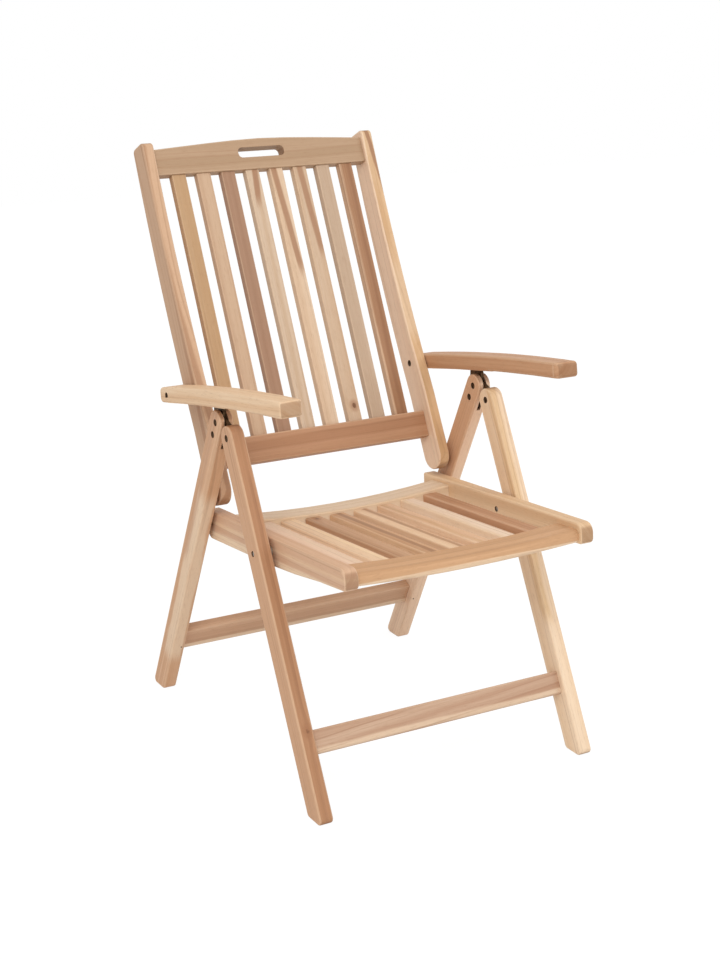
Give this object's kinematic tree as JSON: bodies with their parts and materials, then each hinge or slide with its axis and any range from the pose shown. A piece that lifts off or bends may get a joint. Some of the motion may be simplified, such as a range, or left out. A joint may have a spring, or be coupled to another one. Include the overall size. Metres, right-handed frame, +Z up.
{
  "type": "folding armchair",
  "caption": "Folding teak armchair with scissor legs, a slatted seat, a high slatted back that reclines in steps and notched armrests.",
  "frame": {"origin": "on the floor, under the middle of the chair's box as it stands open with the back upright", "axes": "+Z up, -Y towards the front of the seat, +X to the right as seen from the front"},
  "size_m": [0.5958, 0.8142, 1.0451],
  "materials": {
    "pale_teak": "sanded, unoiled",
    "honey_teak": "sanded, unoiled",
    "tan_teak": "sanded, unoiled",
    "rosy_teak": "sanded, unoiled",
    "steel": "dull zinc-plated"
  },
  "bodies": {
    "rear_frame": {"rear_leg_left": "pale_teak", "rear_leg_right": "tan_teak", "rear_stretcher": "rosy_teak", "rear_stretcher_pin_left": "steel", "rear_stretcher_pin_right": "steel", "link_plate_left": "steel", "link_plate_right": "steel", "link_plate_upper_bolt_left": "steel", "link_plate_upper_bolt_right": "steel", "link_plate_lower_bolt_left": "steel", "link_plate_lower_bolt_right": "steel", "leg_pivot_bolt_left": "steel", "leg_pivot_bolt_right": "steel", "back_pivot_pin_left": "steel", "back_pivot_pin_right": "steel", "back_pivot_spacer_left": "steel", "back_pivot_spacer_right": "steel"},
    "front_frame": {"front_leg_left": "tan_teak", "front_leg_right": "pale_teak", "front_stretcher": "rosy_teak", "front_stretcher_pin_left": "steel", "front_stretcher_pin_right": "steel", "seat_pivot_bolt_left": "steel", "seat_pivot_bolt_right": "steel", "seat_pivot_spacer_left": "steel", "seat_pivot_spacer_right": "steel"},
    "seat": {"seat_rail_left": "tan_teak", "seat_rail_right": "honey_teak", "seat_front_rail": "honey_teak", "seat_rear_rail": "pale_teak", "seat_slat_1": "pale_teak", "seat_slat_2": "pale_teak", "seat_slat_3": "rosy_teak", "seat_slat_4": "tan_teak", "seat_slat_5": "pale_teak", "seat_slat_6": "pale_teak", "seat_slat_7": "pale_teak", "seat_slat_8": "rosy_teak", "seat_guide_pin_left": "steel", "seat_guide_pin_right": "steel"},
    "back": {"back_stile_left": "honey_teak", "back_stile_right": "tan_teak", "back_top_rail": "tan_teak", "back_lower_rail": "rosy_teak", "back_slat_1": "honey_teak", "back_slat_2": "tan_teak", "back_slat_3": "rosy_teak", "back_slat_4": "pale_teak", "back_slat_5": "honey_teak", "back_slat_6": "tan_teak", "back_slat_7": "rosy_teak", "back_slat_8": "pale_teak", "armrest_bolt_left": "steel", "armrest_bolt_right": "steel", "armrest_washer_left": "steel", "armrest_washer_right": "steel"},
    "armrest_left": {"armrest_left": "pale_teak"},
    "armrest_right": {"armrest_right": "honey_teak"}
  },
  "joints": [
    {"name": "fold", "type": "hinge", "parent": "rear_frame", "child": "front_frame", "pos_m": [0, -0.04929, 0.59], "axis": [1, 0, 0], "range_deg": [0, 53]},
    {"name": "seat_fold", "type": "hinge", "parent": "front_frame", "child": "seat", "pos_m": [0, -0.14735, 0.4094], "axis": [1, 0, 0], "range_deg": [-103.2, 0]},
    {"name": "recline", "type": "hinge", "parent": "rear_frame", "child": "back", "pos_m": [0, 0.08468, 0.44094], "axis": [-1, 0, 0], "range_deg": [0, 30]},
    {"name": "armrest_tilt_left", "type": "hinge", "parent": "back", "child": "armrest_left", "pos_m": [0, 0.16877, 0.61644], "axis": [1, 0, 0], "range_deg": [0, 18.95]},
    {"name": "armrest_tilt_right", "type": "hinge", "parent": "back", "child": "armrest_right", "pos_m": [0, 0.16877, 0.61644], "axis": [1, 0, 0], "range_deg": [0, 18.95]}
  ],
  "couplings": [
    {"joint": "seat_fold", "follows": "fold", "ratio": -1.9469},
    {"joint": "armrest_tilt_left", "follows": "recline", "ratio": 0.63046},
    {"joint": "armrest_tilt_right", "follows": "recline", "ratio": 0.63046}
  ]
}
